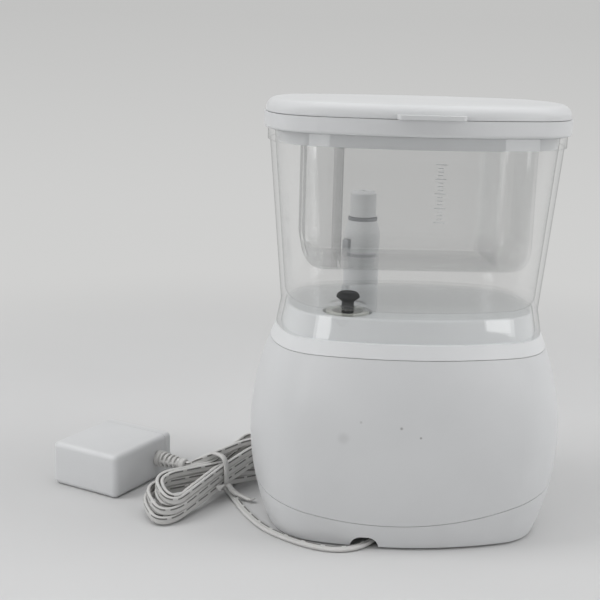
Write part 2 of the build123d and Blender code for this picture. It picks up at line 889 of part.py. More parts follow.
def adapter_shell(behind):
    """The adapter's case, or the face plate behind it that carries the blades."""
    shell = Box(adapter_length, adapter_width, adapter_height)
    shell = fillet(shell.edges(), adapter_edge)
    split_y = adapter_face - adapter_width / 2
    back = split_y - adapter_width / 2
    front = split_y + adapter_split + adapter_width / 2
    cut = Pos(0, back if behind else front, 0) * Box(adapter_length, adapter_width, adapter_height)
    return adapter_spot * Pos(0, 0, adapter_middle_z) * (shell & cut)


def make_relief():
    """The tapered strain relief on the adapter's side."""
    cone = Cone(relief_big_radius, relief_small_radius, relief_length)
    face_x = -adapter_length / 2
    middle_x = face_x - relief_length / 2
    turned = Pos(middle_x, -relief_offset, adapter_middle_z) * Rot(0, -90, 0) * cone
    return adapter_spot * turned


def make_lead_tail():
    """The short stretch of lead from the adapter's strain relief into the hank."""
    start_x = -adapter_length / 2 - relief_length
    tail = along_x(lead_radius, start_x - tail_length, start_x, -relief_offset, adapter_middle_z)
    return adapter_spot * tail


def make_blades():
    """The two mains blades on the adapter's far side."""
    blade = Box(blade_thickness, blade_length, blade_height)
    blade = fillet(blade.edges().filter_by(Axis.X).group_by(Axis.Y)[0], 0.3 * blade_height)
    face_y = -adapter_width / 2
    middle = Pos(0, face_y - blade_length / 2, adapter_middle_z)
    spots = [middle * Pos(side * blade_spacing / 2, 0, 0) for side in (-1, 1)]
    return Part() + [adapter_spot * spot * blade for spot in spots]


save("bottom_cover", make_bottom_cover())
save("rubber_feet", make_feet())
save("base_housing", make_housing())
save("top_deck", make_deck())
save("inlet_socket", make_inlet_socket())
save("inlet_seal", make_inlet_seal())
save("gearbox_case", make_gearbox())
save("motor", make_motor())
save("pump", make_pump())
save("inlet_tube", make_inlet_tube())
save("pressure_valve", make_pressure_valve())
save("control_board", make_board())
save("handle_cradle", make_cradle())
save("hose_port", make_hose_port())
save("dial", make_dial())
save("tank", make_tank())
save("tank_valve", make_valve())
save("lid_frame", make_lid_frame())
save("tip_tray", make_tray())
save("hinge_pin", make_hinge_pin())
save("lid_cover", make_cover())
save("handle_body", make_handle_body())
save("handle_ring", make_handle_ring())
save("hose_spigot", make_spigot())
save("tip_collar", make_tip_collar())
save("pause_button", make_button())
save("cord_gland", make_gland())
save("lead", make_lead())
save("lead_hank", make_hank())
save("lead_tail", make_lead_tail())
save("adapter_case", adapter_shell(False))
save("adapter_face", adapter_shell(True))
save("adapter_relief", make_relief())
save("adapter_blades", make_blades())
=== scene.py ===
# %% [markdown]
# # A countertop water flosser, seen from behind
# The solids of this appliance already exist as a fixed frame: a pump base, a clear lift-off tank, a lid with
# a tip tray, a spray handle and an adapter on a tied lead. This lesson gives every surface its finish, lays
# the real lead, and adds the small parts that a moulded shell carries. Nothing here moves or resizes the
# frame.

# %% Load the frame
import json
import math
import random

import bmesh
import bpy
from mathutils import Matrix, Vector


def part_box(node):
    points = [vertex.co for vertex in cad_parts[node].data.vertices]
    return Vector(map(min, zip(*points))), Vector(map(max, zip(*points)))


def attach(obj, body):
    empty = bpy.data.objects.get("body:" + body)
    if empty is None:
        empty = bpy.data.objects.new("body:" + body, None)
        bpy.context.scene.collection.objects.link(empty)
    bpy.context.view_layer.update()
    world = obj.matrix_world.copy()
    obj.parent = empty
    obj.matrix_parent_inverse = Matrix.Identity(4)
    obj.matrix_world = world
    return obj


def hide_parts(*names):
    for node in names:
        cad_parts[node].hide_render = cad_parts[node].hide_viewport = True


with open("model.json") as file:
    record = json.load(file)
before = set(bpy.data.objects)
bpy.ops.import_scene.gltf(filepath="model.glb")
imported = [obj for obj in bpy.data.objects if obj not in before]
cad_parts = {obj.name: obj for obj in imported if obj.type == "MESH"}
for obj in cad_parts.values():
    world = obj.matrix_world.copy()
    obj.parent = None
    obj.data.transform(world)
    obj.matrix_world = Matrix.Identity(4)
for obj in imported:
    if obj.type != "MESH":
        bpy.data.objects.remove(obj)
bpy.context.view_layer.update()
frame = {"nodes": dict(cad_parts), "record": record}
nodes = frame["nodes"]
MM = 0.001

# %% [markdown]
# ## One upright axis
# The base, the tank and the lid share one upright axis, and most sizes are easiest to read from it. The tank
# is symmetrical about it, so the middle of the tank's box gives the axis without any number being copied.

# %% Find the axis
tank_low, tank_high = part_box("tank")
axis = Vector(((tank_low.x + tank_high.x) / 2, (tank_low.y + tank_high.y) / 2, 0))


def from_axis(x, y, z):
    """A place given in millimetres from the axis, in the frame's metres."""
    return axis + Vector((x, y, z)) * MM


print("axis at y", round(axis.y, 4))

# %% [markdown]
# ## The camera
# The photograph was taken from behind, a little above the lid, with the camera slightly left of the object
# and turned a degree and a half. A camera is three directions in a matrix, so the tilt is set by turning its
# right and up directions about the line of sight, which is plainer than a stack of Euler angles.

# %% Set the camera
frame_pixels = 600
focal_pixels = 1148.6
camera_place = from_axis(79.4, 602.3, 256.6)
sight = Vector((-0.034, -0.9749, -0.2202)).normalized()
tilt = math.radians(1.52)
level_right = sight.cross(Vector((0, 0, 1))).normalized()
level_up = level_right.cross(sight)
right = level_right * math.cos(tilt) + level_up * math.sin(tilt)
up = level_up * math.cos(tilt) - level_right * math.sin(tilt)


def link(thing):
    """Put an object in the scene."""
    bpy.context.scene.collection.objects.link(thing)


camera_data = bpy.data.cameras.new("photo_camera")
camera_data.sensor_fit = "HORIZONTAL"
camera_data.lens = camera_data.sensor_width * focal_pixels / frame_pixels
camera = bpy.data.objects.new("photo_camera", camera_data)
camera.matrix_world = Matrix((
    (right.x, up.x, -sight.x, camera_place.x),
    (right.y, up.y, -sight.y, camera_place.y),
    (right.z, up.z, -sight.z, camera_place.z),
    (0, 0, 0, 1),
))
link(camera)
bpy.context.scene.camera = camera
print("lens", round(camera_data.lens, 2))

# %% [markdown]
# ## Helpers for finishes
# Colours are written as sRGB hex and turned to linear light by one function. One small function adds a node
# with its settings and links, so each finish below reads as a short list of what the surface does.


# %% Colour and node helpers
def hex_colour(text):
    """An sRGB hex colour as linear RGBA."""
    channels = [int(text[i:i + 2], 16) / 255 for i in (0, 2, 4)]
    linear = [c / 12.92 if c <= 0.04045 else ((c + 0.055) / 1.055) ** 2.4 for c in channels]
    return (*linear, 1.0)


def add(tree, kind, settings=None, values=None, links=None):
    """Add a node, set its properties and input values, and link its inputs."""
    node = tree.nodes.new(kind)
    for key, value in (settings or {}).items():
        setattr(node, key, value)
    for key, value in (values or {}).items():
        node.inputs[key].default_value = value
    for key, socket in (links or {}).items():
        tree.links.new(socket, node.inputs[key])
    return node


def new_finish(name, **sockets):
    """A material, its tree, and its surface shader with some sockets set; Base_Color means Base Color."""
    finish = bpy.data.materials.new(name)
    finish.use_nodes = True
    shader = finish.node_tree.nodes["Principled BSDF"]
    for key, value in sockets.items():
        shader.inputs[key.replace("_", " ")].default_value = value
    return finish, finish.node_tree, shader


def tone(tree, shader, light, dark, patch_mm):
    """Cloudy colour between two hexes, with patches of a real size. Returns the coordinates it reads."""
    place = add(tree, "ShaderNodeTexCoord")
    cloud = add(tree, "ShaderNodeTexNoise", None, {"Scale": 1000 / patch_mm, "Detail": 3.0},
                {"Vector": place.outputs["Object"]})
    ramp = add(tree, "ShaderNodeValToRGB", links={"Fac": cloud.outputs["Fac"]})
    for stop, position, colour in zip(ramp.color_ramp.elements, (0.35, 0.65), (dark, light)):
        stop.position = position
        stop.color = hex_colour(colour)
    tree.links.new(ramp.outputs["Color"], shader.inputs["Base Color"])
    return place


def gloss(tree, shader, place, low, high, patch_mm):
    """Roughness that wanders between two values, as handling leaves it."""
    cloud = add(tree, "ShaderNodeTexNoise", None, {"Scale": 1000 / patch_mm, "Detail": 4.0},
                {"Vector": place.outputs["Object"]})
    span = add(tree, "ShaderNodeMapRange", None, {"To Min": low, "To Max": high},
               {"Value": cloud.outputs["Fac"]})
    tree.links.new(span.outputs["Result"], shader.inputs["Roughness"])


def grain(tree, shader, place, grain_mm, depth_mm, strength):
    """Fine moulded texture as a bump of a real depth."""
    fine = add(tree, "ShaderNodeTexNoise", None, {"Scale": 1000 / grain_mm, "Detail": 2.0},
               {"Vector": place.outputs["Object"]})
    bump = add(tree, "ShaderNodeBump", None, {"Strength": strength, "Distance": depth_mm * MM},
               {"Height": fine.outputs["Fac"]})
    tree.links.new(bump.outputs["Normal"], shader.inputs["Normal"])


# %% [markdown]
# ## Moulded finishes
# The shells are injection-moulded ABS with a satin skin: nearly white, very slightly cool, with a soft
# highlight. Its real grain is a few hundredths of a millimetre, so it is drawn coarser here, to show at all.
# The other plastics, the ink, the coated board and the lead's soft vinyl have the same kind of skin in their
# own colours. Rubber is dull, and the metal pieces keep the shader's default IOR.


# %% Opaque finishes
def satin_plastic(name, light, dark, rough_low, rough_high):
    """Satin moulded plastic: an even skin with a broad soft highlight."""
    finish, tree, shader = new_finish(name, IOR=1.53)
    place = tone(tree, shader, light, dark, patch_mm=60.0)
    gloss(tree, shader, place, rough_low, rough_high, patch_mm=35.0)
    grain(tree, shader, place, grain_mm=0.9, depth_mm=0.02, strength=0.12)
    return finish


def dull_rubber(name, light, dark):
    """Moulded rubber: a soft sheen and no sharp reflection."""
    finish, tree, shader = new_finish(name, IOR=1.52)
    place = tone(tree, shader, light, dark, patch_mm=6.0)
    gloss(tree, shader, place, 0.5, 0.75, patch_mm=4.0)
    grain(tree, shader, place, grain_mm=0.5, depth_mm=0.03, strength=0.2)
    return finish


def bare_metal(name, light, dark, rough_low, rough_high):
    """Plated or drawn metal with faint cloudy tone."""
    finish, tree, shader = new_finish(name, Metallic=1.0)
    place = tone(tree, shader, light, dark, patch_mm=5.0)
    gloss(tree, shader, place, rough_low, rough_high, patch_mm=3.0)
    return finish


# %% [markdown]
# ## Clear plastic
# The tank and the tray are SAN, a clear styrene plastic. Their walls are thin and even, so they hardly bend
# what is seen through them. Each face passes light straight on with a faint colour, and mirrors the room by a
# share that is small when it is met squarely and grows towards its edges. Where a face is seen edge-on, the
# colour it passes turns dark grey: painted shade for the dark edges that bent light gives clear plastic.
# Shadow rays get no mirror, so lamp light comes in.
#
# A ray may pass only so many Transparent faces. The tank uses that node, and the tray inside it uses a
# Refraction with an IOR of 1, which goes just as straight and is counted on its own.

# %% Clear finish
mirror_square_on = 0.05
mirror_cap = 0.5
mirror_power = 5.0
edge_shade_power = 12.0


def clear_san(name, straight, square_on):
    """Clear moulded SAN. Straight names the node that lets light on, square_on the colour it passes when met
    squarely.
    """
    finish, tree, shader = new_finish(name, Roughness=0.03, Metallic=1.0, Base_Color=hex_colour("f8f9f9"))
    angle = add(tree, "ShaderNodeLayerWeight", None, {"Blend": 0.5})
    facing = angle.outputs["Facing"]
    rise = add(tree, "ShaderNodeMath", {"operation": "POWER"}, {1: mirror_power}, {0: facing})
    mirror = add(tree, "ShaderNodeMath", {"operation": "MULTIPLY_ADD"},
                 {1: 1 - mirror_square_on, 2: mirror_square_on}, {0: rise.outputs[0]})
    capped = add(tree, "ShaderNodeMath", {"operation": "MINIMUM"}, {1: mirror_cap}, {0: mirror.outputs[0]})
    # Painted shade: towards grazing angles the colour passed turns dark grey, for the dark edges of clear
    # plastic.
    rim = add(tree, "ShaderNodeMath", {"operation": "POWER"}, {1: edge_shade_power}, {0: facing})
    tint_and_edge_shade = add(tree, "ShaderNodeValToRGB", links={"Fac": rim.outputs[0]})
    tint_and_edge_shade.color_ramp.elements[0].color = hex_colour(square_on)
    tint_and_edge_shade.color_ramp.elements[1].color = hex_colour("3e4143")
    seen_through = add(tree, straight, links={"Color": tint_and_edge_shade.outputs["Color"]})
    if "IOR" in seen_through.inputs:
        seen_through.inputs["IOR"].default_value = 1.0
        seen_through.inputs["Roughness"].default_value = 0.0
    wall = add(tree, "ShaderNodeMixShader", links={
        "Fac": capped.outputs[0], 1: seen_through.outputs["BSDF"], 2: shader.outputs["BSDF"]})
    rays = add(tree, "ShaderNodeLightPath")
    passed = add(tree, "ShaderNodeBsdfTransparent", None, {"Color": hex_colour("fdfefe")})
    both = add(tree, "ShaderNodeMixShader", links={
        "Fac": rays.outputs["Is Shadow Ray"], 1: wall.outputs["Shader"], 2: passed.outputs["BSDF"]})
    tree.links.new(both.outputs["Shader"], tree.nodes["Material Output"].inputs["Surface"])
    return finish


# %% [markdown]
# ## Wear on the base
# The base in the photograph carries a few small dark flecks and one faint smudge on its back. Each is a soft
# spot round a place on the shell. Depth counts little in the distance, because the shell's face is nearly
# flat there.

# %% Marks on the base
mark_colour = hex_colour("55534f")
mark_core = 0.2
mark_squash = (1.0, 0.15, 1.0)
# Place from the axis and radius, in millimetres, and how dark the mark is.
mark_spots = [
    ((7.7, 55.5, 68.2), 1.1, 0.55),
    ((-2.2, 56.0, 63.5), 0.9, 0.65),
    ((28.0, 54.0, 70.5), 1.0, 0.25),
    ((36.5, 53.0, 61.5), 4.2, 0.13),
]


def add_marks(finish):
    """Darken the finish softly round each mark."""
    tree = finish.node_tree
    shader = tree.nodes["Principled BSDF"]
    colour = shader.inputs["Base Color"].links[0].from_socket
    place = add(tree, "ShaderNodeTexCoord")
    for spot, radius_mm, darkness in mark_spots:
        apart = add(tree, "ShaderNodeVectorMath", {"operation": "SUBTRACT"}, {1: from_axis(*spot)},
                    {0: place.outputs["Object"]})
        flat = add(tree, "ShaderNodeVectorMath", {"operation": "MULTIPLY"}, {1: mark_squash},
                   {0: apart.outputs[0]})
        away = add(tree, "ShaderNodeVectorMath", {"operation": "LENGTH"}, links={0: flat.outputs[0]})
        fade = add(tree, "ShaderNodeMapRange", {"interpolation_type": "SMOOTHSTEP"}, {
            "From Min": mark_core * radius_mm * MM, "From Max": radius_mm * MM,
            "To Min": darkness, "To Max": 0.0}, {"Value": away.outputs["Value"]})
        mix = add(tree, "ShaderNodeMix", {"data_type": "RGBA"}, {7: mark_colour},
                  {0: fade.outputs["Result"], 6: colour})
        colour = mix.outputs[2]
    tree.links.new(colour, shader.inputs["Base Color"])
    return finish


print("marks", len(mark_spots))

# %% [markdown]
# ## A finish for each node
# The record names a material slot for every node, so one finish for each slot covers the frame. Four nodes
# have a finish of their own: the marked housing, the tray, the deck and the paler button. The deck is painted
# a brighter white, as painted light for the light that the lid keeps from it under the tank. The tray casts
# no shadow, because a shadow ray passes only so many clear faces, and the tray's would use them up.

# %% Give each node its finish
white_abs = ("d8d9da", "d3d4d5", 0.3, 0.42)
white_vinyl = ("d2d1cf", "c6c5c3", 0.4, 0.52)
finishes = {
    "white_shell": satin_plastic("satin_white_abs", *white_abs),
    "clear_plastic": clear_san("clear_moulded_san", "ShaderNodeBsdfTransparent", "fefefe"),
    "grey_plastic": satin_plastic("satin_grey_abs", "7d8084", "74777b", 0.4, 0.55),
    "dark_plastic": satin_plastic("dark_glass_filled_nylon", "2b2c2e", "232426", 0.45, 0.6),
    "black_rubber": dull_rubber("black_silicone_rubber", "1d1e20", "151618"),
    "grey_rubber": dull_rubber("grey_foot_rubber", "6a6b6d", "5c5d5f"),
    "soft_tube": dull_rubber("milky_silicone_tube", "cfcfc8", "c4c4bc"),
    "pale_print": satin_plastic("pale_grey_ink", "e2e4e6", "dcdee0", 0.45, 0.55),
    "steel_can": bare_metal("drawn_steel_can", "b9bbbd", "a4a6a9", 0.25, 0.4),
    "steel": bare_metal("polished_steel_pin", "c8c9cb", "b8babc", 0.12, 0.25),
    "nickel": bare_metal("nickel_plated_brass", "cfccc4", "c0bdb4", 0.15, 0.3),
    "board": satin_plastic("green_coated_board", "1f5a35", "1a4f2e", 0.35, 0.5),
    "white_lead": satin_plastic("soft_white_vinyl", *white_vinyl),
}
own_finishes = {
    "base_housing": add_marks(satin_plastic("satin_white_abs_with_marks", *white_abs)),
    "tip_tray": clear_san("clear_moulded_san_tray", "ShaderNodeBsdfRefraction", "fcfcfc"),
    # The deck is painted a brighter white than the shell: painted light for the light the lid keeps from it.
    "top_deck": satin_plastic("satin_white_abs_painted_light", "e1e2e3", "dddedf", 0.3, 0.42),
    "pause_button": satin_plastic("satin_pale_grey_abs", "a6a8ab", "9fa1a4", 0.4, 0.55),
}
slot_of = {row["node"]: row["material_slot"] for row in frame["record"]["subparts"]}


def give(piece, finish):
    """Give a piece one finish."""
    piece.data.materials.clear()
    piece.data.materials.append(finish)


for name, node in nodes.items():
    give(node, own_finishes.get(name, finishes[slot_of[name]]))
nodes["tip_tray"].visible_shadow = False
print("finishes", sorted({node.data.materials[0].name for node in nodes.values()}))

# %% [markdown]
# ## The lead
# The lead is a flat twin flex, about 4.4 mm wide. It leaves the gland under the base, passes the notch,
# follows the base's edge, and is wound into a hank like a long narrow racetrack, with a tie round its waist,
# before it reaches the adapter. Its line is one NURBS spline: listed points for the free stretch, and a
# rule for the turns.

# %% Points of the free lead
lead_width = 4.4
lead_thickness = 2.2
free_points = [
    (9.0, 32.5, 4.4),
    (16.5, 41.5, 2.6),
    (26.0, 50.8, 1.4),
    (38.0, 54.5, 1.25),
    (50.5, 50.5, 1.25),
    (63.5, 41.0, 1.25),
    (76.5, 27.5, 1.25),
    (87.0, 4.5, 1.25),
    (92.5, -13.5, 1.25),
    (97.0, -27.0, 1.4),
]
print("free points", len(free_points))

# %% [markdown]
# ## The hank
# Places in the hank are given along it, across it and up from the table. Each turn has a near run, a loop
# round the left end, a far run and a loop round the right end. The runs pass the tie in two columns and three
# rows a side, fan out towards the ends, and each turn is a little longer or shorter than the next, as
# hand-wound turns are.

# %% Places in the hank
hank_middle = Vector((108.7, -21.65, 0))
hank_turn = math.radians(45.5)
hank_along = Vector((math.cos(hank_turn), math.sin(hank_turn), 0))
hank_across = Vector((-math.sin(hank_turn), math.cos(hank_turn), 0))
waist = -3.0
left_end = 40.0
right_end = -33.0
rows_in_column = 3
column_step = 2.7
tie_middle = 5.5
tie_half_gap = 1.4
tied_floor, tied_step = 8.0, 4.7
near_left, near_floor, near_step = 17.0, 2.7, 4.4
far_left, far_floor, far_step = -6.5, 8.5, 4.5
near_right, far_right = 6.5, -1.5
right_floor, right_step = 3.2, 4.2
run_wander = 0.5
chance = random.Random(7)


def in_hank(along, across, height):
    """A place in the hank, in millimetres from the axis."""
    spot = hank_middle + hank_along * along + hank_across * across
    return (spot.x, spot.y, height)


def run_spot(turn, side, along):
    """A point on one run: side is 1 for the near run and -1 for the far one."""
    out = column_step * (turn // rows_in_column)
    row = turn % rows_in_column
    tied_across = tie_middle + side * (tie_half_gap + out)
    tied_height = tied_floor + tied_step * row
    if along <= waist:
        end_across = near_right + out if side > 0 else far_right - out
        end_height = right_floor + right_step * turn
    elif side > 0:
        end_across = near_left + out
        end_height = near_floor + near_step * row
    else:
        end_across = far_left - out
        end_height = far_floor + far_step * row
    end = left_end if along > waist else right_end
    share = min((along - waist) / (end - waist), 1.0)
    wander = run_wander * share
    across = tied_across + (end_across - tied_across) * share + chance.uniform(-wander, wander)
    height = tied_height + (end_height - tied_height) * share
    return in_hank(along, across, height)


print("hank middle", tuple(round(value, 1) for value in hank_middle))

# %% [markdown]
# ## The turns
# The points of a turn are listed in the order in which the flex was wound. The near run and the far run are
# read from the rule above, and the loops at the two ends are a few points each.

# %% Points of the turns
tips = (45.5, 41.0, 36.0, 48.5, 45.5, 40.5)


def hank_points():
    """Control points of all turns, from the free lead's end to the last right-hand loop."""
    points = [in_hank(-22.0, -0.5, 2.2), in_hank(-32.0, -2.5, 2.8)]
    points += [in_hank(-38.0, -2.5, 3.0), in_hank(-41.5, 2.5, 3.1), in_hank(-38.0, 7.0, 3.2)]
    for turn, usual_tip in enumerate(tips):
        column = turn // rows_in_column
        lift = near_step * (turn % rows_in_column)
        tip = usual_tip + chance.uniform(-1.0, 0.5)
        near = 16.0 + column_step * column + chance.uniform(-1.0, 0.4)
        near_run = (-28.0, -15.0, waist, 0.22 * tip, 0.5 * tip, 0.76 * tip)
        far_run = (tip - 12.0, 18.0, 8.0, waist, -15.0, -28.0)
        points += [run_spot(turn, 1, along) for along in near_run]
        points.append(in_hank(0.95 * tip, near + 0.4, 2.9 + lift))
        points.append(in_hank(tip + 2.0, near - 4.0, 3.4 + lift))
        points.append(in_hank(tip + 0.5, near - 11.5, 5.0 + lift))
        points.append(in_hank(tip - 4.5, near - 18.5 - 3.0 * column, 7.0 + lift))
        points += [run_spot(turn, -1, along) for along in far_run]
        height = right_floor + right_step * turn
        points.append(in_hank(-37.5, -2.5 - 2.5 * column, height + 0.8))
        points.append(in_hank(-41.0 + chance.uniform(0, 2), 2.5, height + 1.6))
        points.append(in_hank(-37.5, 7.0 + 2.5 * column, height + 2.4))
    return points


print("turns", len(tips))

# %% [markdown]
# ## The adapter's strain relief
# The lead ends in a ribbed relief on the adapter's side. The adapter stands at an angle, so its own
# directions are worked out once, and the lead's last points curve from the top of the hank into the relief's
# axis.

# %% Directions of the adapter and the lead's last points
adapter_middle = Vector((165.1, -45.4, 12.8))
adapter_turn = math.radians(-31.6)
adapter_length = 46.5
relief_offset = 13.0
relief_length = 20.0
adapter_right = Vector((math.cos(adapter_turn), math.sin(adapter_turn), 0))
adapter_back = Vector((-math.sin(adapter_turn), math.cos(adapter_turn), 0))
relief_root = adapter_middle - adapter_right * (adapter_length / 2) - adapter_back * relief_offset
relief_way = -adapter_right
relief_tip = relief_root + relief_way * relief_length
tail_points = [
    in_hank(-26.0, 4.0, 25.8),
    in_hank(-14.0, 2.2, 24.0),
    in_hank(-3.0, 0.5, 22.4),
    in_hank(2.5, -3.0, 20.0),
    in_hank(2.6, -8.0, 16.6),
    tuple(relief_tip + relief_way * 4.0 + Vector((0, 0, 0.4))),
    tuple(relief_tip),
    tuple(relief_tip - relief_way * 1.5),
]
lead_points = free_points + hank_points() + tail_points
print("lead control points", len(lead_points))

# %% [markdown]
# ## From points to a flat twin flex
# The spline is read back as a fine line, and a figure-eight section is carried along it, ring by ring. A
# curve's own bevel would turn the section wherever the line twists, so the rings are set one by one.


# %% Read a spline and carry a section along it
def evaluated_mesh(thing):
    """What an object's curve or modifiers give, as a plain mesh."""
    bpy.context.view_layer.update()
    return bpy.data.meshes.new_from_object(thing.evaluated_get(bpy.context.evaluated_depsgraph_get()))


def spline_line(name, points, resolution):
    """Points along a NURBS spline that has the given control points."""
    curve = bpy.data.curves.new(name, "CURVE")
    curve.dimensions = "3D"
    spline = curve.splines.new("NURBS")
    spline.points.add(len(points) - 1)
    for point, place in zip(spline.points, points):
        point.co = (*from_axis(*place), 1)
    spline.order_u = 3
    spline.use_endpoint_u = True
    spline.resolution_u = resolution
    holder = bpy.data.objects.new(name, curve)
    link(holder)
    line = [vertex.co.copy() for vertex in evaluated_mesh(holder).vertices]
    bpy.data.objects.remove(holder)
    return line


def twin_section(width, thickness):
    """A figure-eight outline: two round lobes that meet in a shallow groove."""
    lobe = thickness / 2
    centre = width / 2 - lobe
    angles = [math.radians(a) for a in (-135, -96, -58, -19, 19, 58, 96, 135)]
    near = [(centre + lobe * math.cos(a), lobe * math.sin(a)) for a in angles]
    far = [(-x, -y) for x, y in near]
    return near + far


def finish_mesh(name, mesh, smooth=True):
    """Turn a bmesh into a linked object at the origin."""
    data = bpy.data.meshes.new(name)
    mesh.to_mesh(data)
    mesh.free()
    if smooth:
        data.shade_smooth()
    piece = bpy.data.objects.new(name, data)
    link(piece)
    return piece


def carry(name, line, section, wide_of):
    """A closed tube of a section along a line; wide_of gives the section's wide direction at each point."""
    mesh = bmesh.new()
    rings = []
    last = len(line) - 1
    for index, place in enumerate(line):
        forward = (line[min(index + 1, last)] - line[max(index - 1, 0)]).normalized()
        wide = wide_of(index, forward)
        wide = (wide - forward * wide.dot(forward)).normalized()
        thick = forward.cross(wide)
        rings.append([mesh.verts.new(place + (wide * x + thick * y) * MM) for x, y in section])
    around = len(section)
    for first, second in zip(rings, rings[1:]):
        for k in range(around):
            n = (k + 1) % around
            mesh.faces.new((first[k], first[n], second[n], second[k]))
    mesh.faces.new(list(reversed(rings[0])))
    mesh.faces.new(rings[-1])
    bmesh.ops.recalc_face_normals(mesh, faces=mesh.faces)
    return finish_mesh(name, mesh)


# %% [markdown]
# ## Flat on the table, on edge in the hank
# A flat flex lies level on the table, and stands on edge inside the hank, because it folds across its thin
# side. The section turns through a right angle over a short stretch as the lead enters the hank.

# %% Make the lead
lead_line = spline_line("lead_route", lead_points, 8)
reached = [0.0]
for first, second in zip(lead_line, lead_line[1:]):
    reached.append(reached[-1] + (second - first).length)
flat_until = 0.135
upright_from = 0.175


def lead_wide(index, forward):
    """Level on the table, then up on edge inside the hank."""
    blend = min(max((reached[index] - flat_until) / (upright_from - flat_until), 0), 1)
    angle = math.pi / 2 * blend
    side = forward.cross(Vector((0, 0, 1))).normalized()
    top = side.cross(forward)
    return side * math.cos(angle) + top * math.sin(angle)


lead_section = twin_section(lead_width, lead_thickness)
lead = carry("flat_twin_lead", lead_line, lead_section, lead_wide)

# %% [markdown]
# ## The dashed core
# One core of such a lead is marked with grey dashes, so that its polarity can be told. Each point of the lead
# keeps how far along it lies and how far across, and the finish draws the dashes from those two numbers.

# %% Mark one core of the lead
far_along = [place for place in reached for corner in lead_section]
far_across = [corner[0] / (lead_width / 2) for place in reached for corner in lead_section]
for label, values in (("along", far_along), ("across", far_across)):
    lead.data.attributes.new(label, "FLOAT", "POINT").data.foreach_set("value", values)
stripe_middle = 0.5
stripe_half_width = 0.2


def dashed_vinyl(name, ink, dash_mm, pitch_mm):
    """Soft white vinyl with a dashed stripe along one core."""
    finish = satin_plastic(name, *white_vinyl)
    tree = finish.node_tree
    shader = tree.nodes["Principled BSDF"]
    plain = shader.inputs["Base Color"].links[0].from_socket
    along = add(tree, "ShaderNodeAttribute", {"attribute_name": "along"})
    across = add(tree, "ShaderNodeAttribute", {"attribute_name": "across"})
    beat = add(tree, "ShaderNodeMath", {"operation": "MODULO"}, {1: pitch_mm * MM},
               {0: along.outputs["Fac"]})
    dash = add(tree, "ShaderNodeMath", {"operation": "LESS_THAN"}, {1: dash_mm * MM}, {0: beat.outputs[0]})
    stripe = add(tree, "ShaderNodeMath", {"operation": "COMPARE"},
                 {1: stripe_middle, 2: stripe_half_width}, {0: across.outputs["Fac"]})
    inked = add(tree, "ShaderNodeMath", {"operation": "MULTIPLY"},
                links={0: dash.outputs[0], 1: stripe.outputs[0]})
    mix = add(tree, "ShaderNodeMix", {"data_type": "RGBA"}, {7: hex_colour(ink)},
              {0: inked.outputs[0], 6: plain})
    tree.links.new(mix.outputs[2], shader.inputs["Base Color"])
    return finish


give(lead, dashed_vinyl("dashed_white_vinyl", "737270", dash_mm=9.0, pitch_mm=11.5))
print("marked points", len(far_along))

# %% [markdown]
# ## The tie
# A thin white strip is wrapped once round the waist, its ends cross, and the longer end lies on the table. It
# is a flat rectangle carried along its own spline, with its wide side kept along the hank. The wrap is a
# rounded rectangle, which a cosine and a sine give when both are raised to a power below one.

# %% Make the tie
tie_half_width = 1.6
tie_half_thickness = 0.4
tie_steps = 14
corner_power = 0.6
wrap_start = math.radians(-70)
wrap_height = 14.6
wrap_half_width = 7.2
wrap_half_height = 10.4
tie_points = [in_hank(6.0, 15.5, 9.0), in_hank(1.0, 14.6, 10.5)]
for step in range(tie_steps + 2):
    angle = wrap_start + 2 * math.pi * step / tie_steps
    across = math.copysign(abs(math.cos(angle)) ** corner_power, math.cos(angle))
    height = math.copysign(abs(math.sin(angle)) ** corner_power, math.sin(angle))
    slip = -4.0 + 1.6 * step / tie_steps
    tie_points.append(
        in_hank(slip, tie_middle + wrap_half_width * across, wrap_height + wrap_half_height * height))
tie_points += [
    in_hank(-3.0, 14.5, 9.5),
    in_hank(-4.5, 16.5, 5.5),
    in_hank(-6.5, 19.0, 3.4),
    in_hank(-8.5, 23.0, 2.2),
    in_hank(-9.5, 26.5, 1.2),
    in_hank(-9.0, 29.0, 2.6),
]
tie_section = [
    (-tie_half_width, -tie_half_thickness), (tie_half_width, -tie_half_thickness),
    (tie_half_width, tie_half_thickness), (-tie_half_width, tie_half_thickness),
]
tie_line = spline_line("tie_route", tie_points, 6)
tie = carry("white_tie", tie_line, tie_section, lambda index, forward: hank_along)
give(tie, finishes["white_lead"])
print("tie rings", len(tie_line))

# %% [markdown]
# ## Repeats with Geometry Nodes
# Ribs, ticks and screws repeat, so a node tree places them. Each tree has named inputs for its sizes, ends in
# Realize Instances and Set Material, and is turned into a plain mesh at once, so nothing live is left on the
# piece.


# %% Helpers for node trees
def new_tree(name, inputs):
    """A geometry tree with a geometry output and named inputs."""
    tree = bpy.data.node_groups.new(name, "GeometryNodeTree")
    tree.interface.new_socket("Geometry", in_out="OUTPUT", socket_type="NodeSocketGeometry")
    for label, kind in inputs.items():
        tree.interface.new_socket(label, in_out="INPUT", socket_type="NodeSocket" + kind)
    return tree, tree.nodes.new("NodeGroupInput").outputs


def close_tree(tree, socket, slot):
    """Realise the instances, set the finish and link the output."""
    real = add(tree, "GeometryNodeRealizeInstances", links={"Geometry": socket})
    coat = add(tree, "GeometryNodeSetMaterial", None, {"Material": finishes[slot]},
               {"Geometry": real.outputs[0]})
    add(tree, "NodeGroupOutput", links={"Geometry": coat.outputs[0]})


